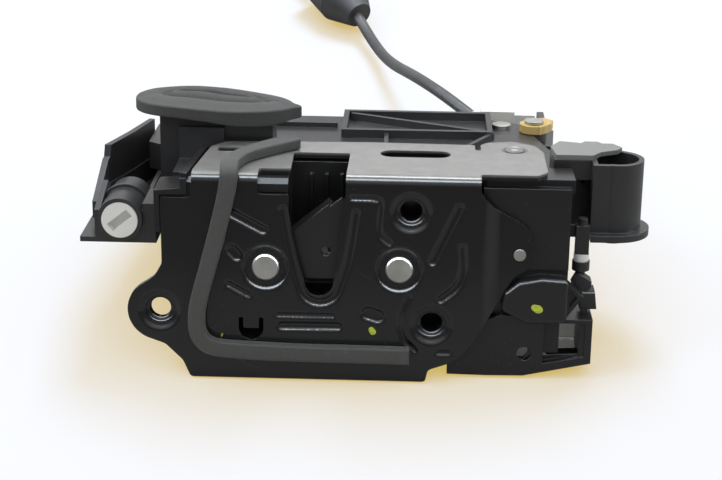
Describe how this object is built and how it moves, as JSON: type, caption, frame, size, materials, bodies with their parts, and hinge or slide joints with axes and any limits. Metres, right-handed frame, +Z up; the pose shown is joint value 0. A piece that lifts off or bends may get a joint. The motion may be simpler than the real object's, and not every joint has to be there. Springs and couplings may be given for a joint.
{
  "type": "door latch actuator",
  "caption": "Vehicle door latch with claw, pawl and steel face plate, a motor lock module behind it, sealed plug tower, key hood and release cable.",
  "frame": {"origin": "on the table under the middle of the latch's bounding box, the cable and its grommet left out", "axes": "+Z up from the table, +X along the latch towards the key hood, +Y back from the face plate; the latch leans back on the table, so its face plate tilts by the lean angle"},
  "size_m": [0.2729, 0.2996, 0.0756],
  "materials": {
    "black_painted_steel": "glossy electro-coated black",
    "zinc_steel": "bright zinc plated, slightly matt",
    "dark_steel": "oiled dark steel",
    "black_plastic": "fine satin black moulding",
    "jacket_plastic": "smooth black overmoulding",
    "white_plastic": "off-white moulding",
    "tan_plastic": "tan moulding",
    "grey_plastic": "grey satin moulding",
    "natural_nylon": "natural nylon gear plastic",
    "black_foam": "closed-cell foam, matt",
    "black_rubber": "soft matt rubber",
    "cable_sheath": "extruded sheath, satin",
    "spring_steel": "bright spring wire",
    "contact_brass": "tinned brass",
    "board": "circuit board laminate"
  },
  "bodies": {
    "latch": {"face_plate": "black_painted_steel", "foam_strip": "black_foam", "claw_pin": "zinc_steel", "pawl_pin": "zinc_steel", "tab_rivet": "zinc_steel", "flange_rivet": "zinc_steel", "claw_spring": "spring_steel", "pawl_spring": "spring_steel", "latch_housing": "black_plastic", "bump_stop": "black_rubber", "back_plate": "zinc_steel", "side_housing": "black_plastic", "outside_pin": "zinc_steel", "actuator_base": "black_plastic", "actuator_cover": "black_plastic", "cover_screws": "zinc_steel", "lock_motor": "zinc_steel", "rotor_barrel": "black_plastic", "key_hood": "black_plastic", "hood_lid": "grey_plastic", "connector_foam": "black_foam", "connector_pins": "contact_brass", "circuit_board": "board", "micro_switches": "black_plastic", "inner_pin": "zinc_steel", "cable_clip": "white_plastic", "cable": "cable_sheath", "grommet": "black_rubber", "cable_end": "white_plastic"},
    "claw": {"claw": "dark_steel", "claw_jacket": "jacket_plastic"},
    "pawl": {"pawl": "dark_steel", "pawl_lever": "zinc_steel"},
    "outside_lever": {"outside_lever": "zinc_steel"},
    "upright_link": {"link_rod": "black_plastic", "rod_clip": "white_plastic", "rod_knob": "black_plastic", "upper_link": "black_plastic", "lower_link": "black_plastic"},
    "worm": {"motor_shaft": "dark_steel", "worm": "natural_nylon"},
    "worm_wheel": {"worm_wheel": "natural_nylon"},
    "lock_lever": {"lock_lever": "natural_nylon"},
    "lock_rotor": {"lock_rotor": "white_plastic"},
    "key_nut": {"key_nut": "black_plastic"},
    "inner_lever": {"inner_lever": "tan_plastic"},
    "lock_button": {"lock_button": "white_plastic"},
    "door_button": {"door_button": "white_plastic"}
  },
  "joints": [
    {"name": "claw_turn", "type": "hinge", "parent": "latch", "child": "claw", "pos_m": [-0.0338, -0.0449, 0.03646], "axis": [0, 0.9492, -0.3148], "range_deg": [0, 72], "stiffness_Nm_per_rad": 0.02},
    {"name": "pawl_turn", "type": "hinge", "parent": "latch", "child": "pawl", "pos_m": [0.0112, -0.0449, 0.03646], "axis": [0, 0.9492, -0.3148], "range_deg": [0, 10]},
    {"name": "outside_lever_turn", "type": "hinge", "parent": "latch", "child": "outside_lever", "pos_m": [0.0482, -0.05081, 0.01166], "axis": [0, 0.9492, -0.3148], "range_deg": [0, 8]},
    {"name": "upright_link_slide", "type": "slide", "parent": "latch", "child": "upright_link", "axis": [0, 0.3148, 0.9492], "range_m": [0, 0.004]},
    {"name": "worm_wheel_turn", "type": "hinge", "parent": "latch", "child": "worm_wheel", "pos_m": [-0.0198, 0.00959, 0.02586], "axis": [0, 0.3148, 0.9492], "range_deg": [0, 60]},
    {"name": "worm_turn", "type": "hinge", "parent": "latch", "child": "worm", "pos_m": [-0.0198, 0.02947, 0.01927], "axis": [1, 0, 0], "continuous": true},
    {"name": "lock_lever_turn", "type": "hinge", "parent": "latch", "child": "lock_lever", "pos_m": [0.0042, -0.01075, 0.03777], "axis": [0, 0.3148, 0.9492], "range_deg": [-27, 0]},
    {"name": "lock_rotor_turn", "type": "hinge", "parent": "latch", "child": "lock_rotor", "pos_m": [-0.0833, -0.03853, 0.04931], "axis": [0, 0.9492, -0.3148], "range_deg": [0, 90]},
    {"name": "key_nut_turn", "type": "hinge", "parent": "latch", "child": "key_nut", "pos_m": [0.0847, -0.02163, 0.03674], "axis": [0, 0.3148, 0.9492], "range_deg": [-45, 45]},
    {"name": "inner_lever_turn", "type": "hinge", "parent": "latch", "child": "inner_lever", "pos_m": [0.0602, 0.03782, 0.0381], "axis": [0, 0.3148, 0.9492], "range_deg": [-25, 0]},
    {"name": "lock_button_press", "type": "slide", "parent": "latch", "child": "lock_button", "axis": [0, 0.9492, -0.3148], "range_m": [0, 0.0006], "stiffness_N_per_m": 100},
    {"name": "door_button_press", "type": "slide", "parent": "latch", "child": "door_button", "axis": [0, 0.9492, -0.3148], "range_m": [0, 0.0006], "stiffness_N_per_m": 100}
  ],
  "couplings": [
    {"joint": "worm_turn", "follows": "worm_wheel_turn", "ratio": 32},
    {"joint": "lock_lever_turn", "follows": "worm_wheel_turn", "ratio": -0.4346}
  ]
}
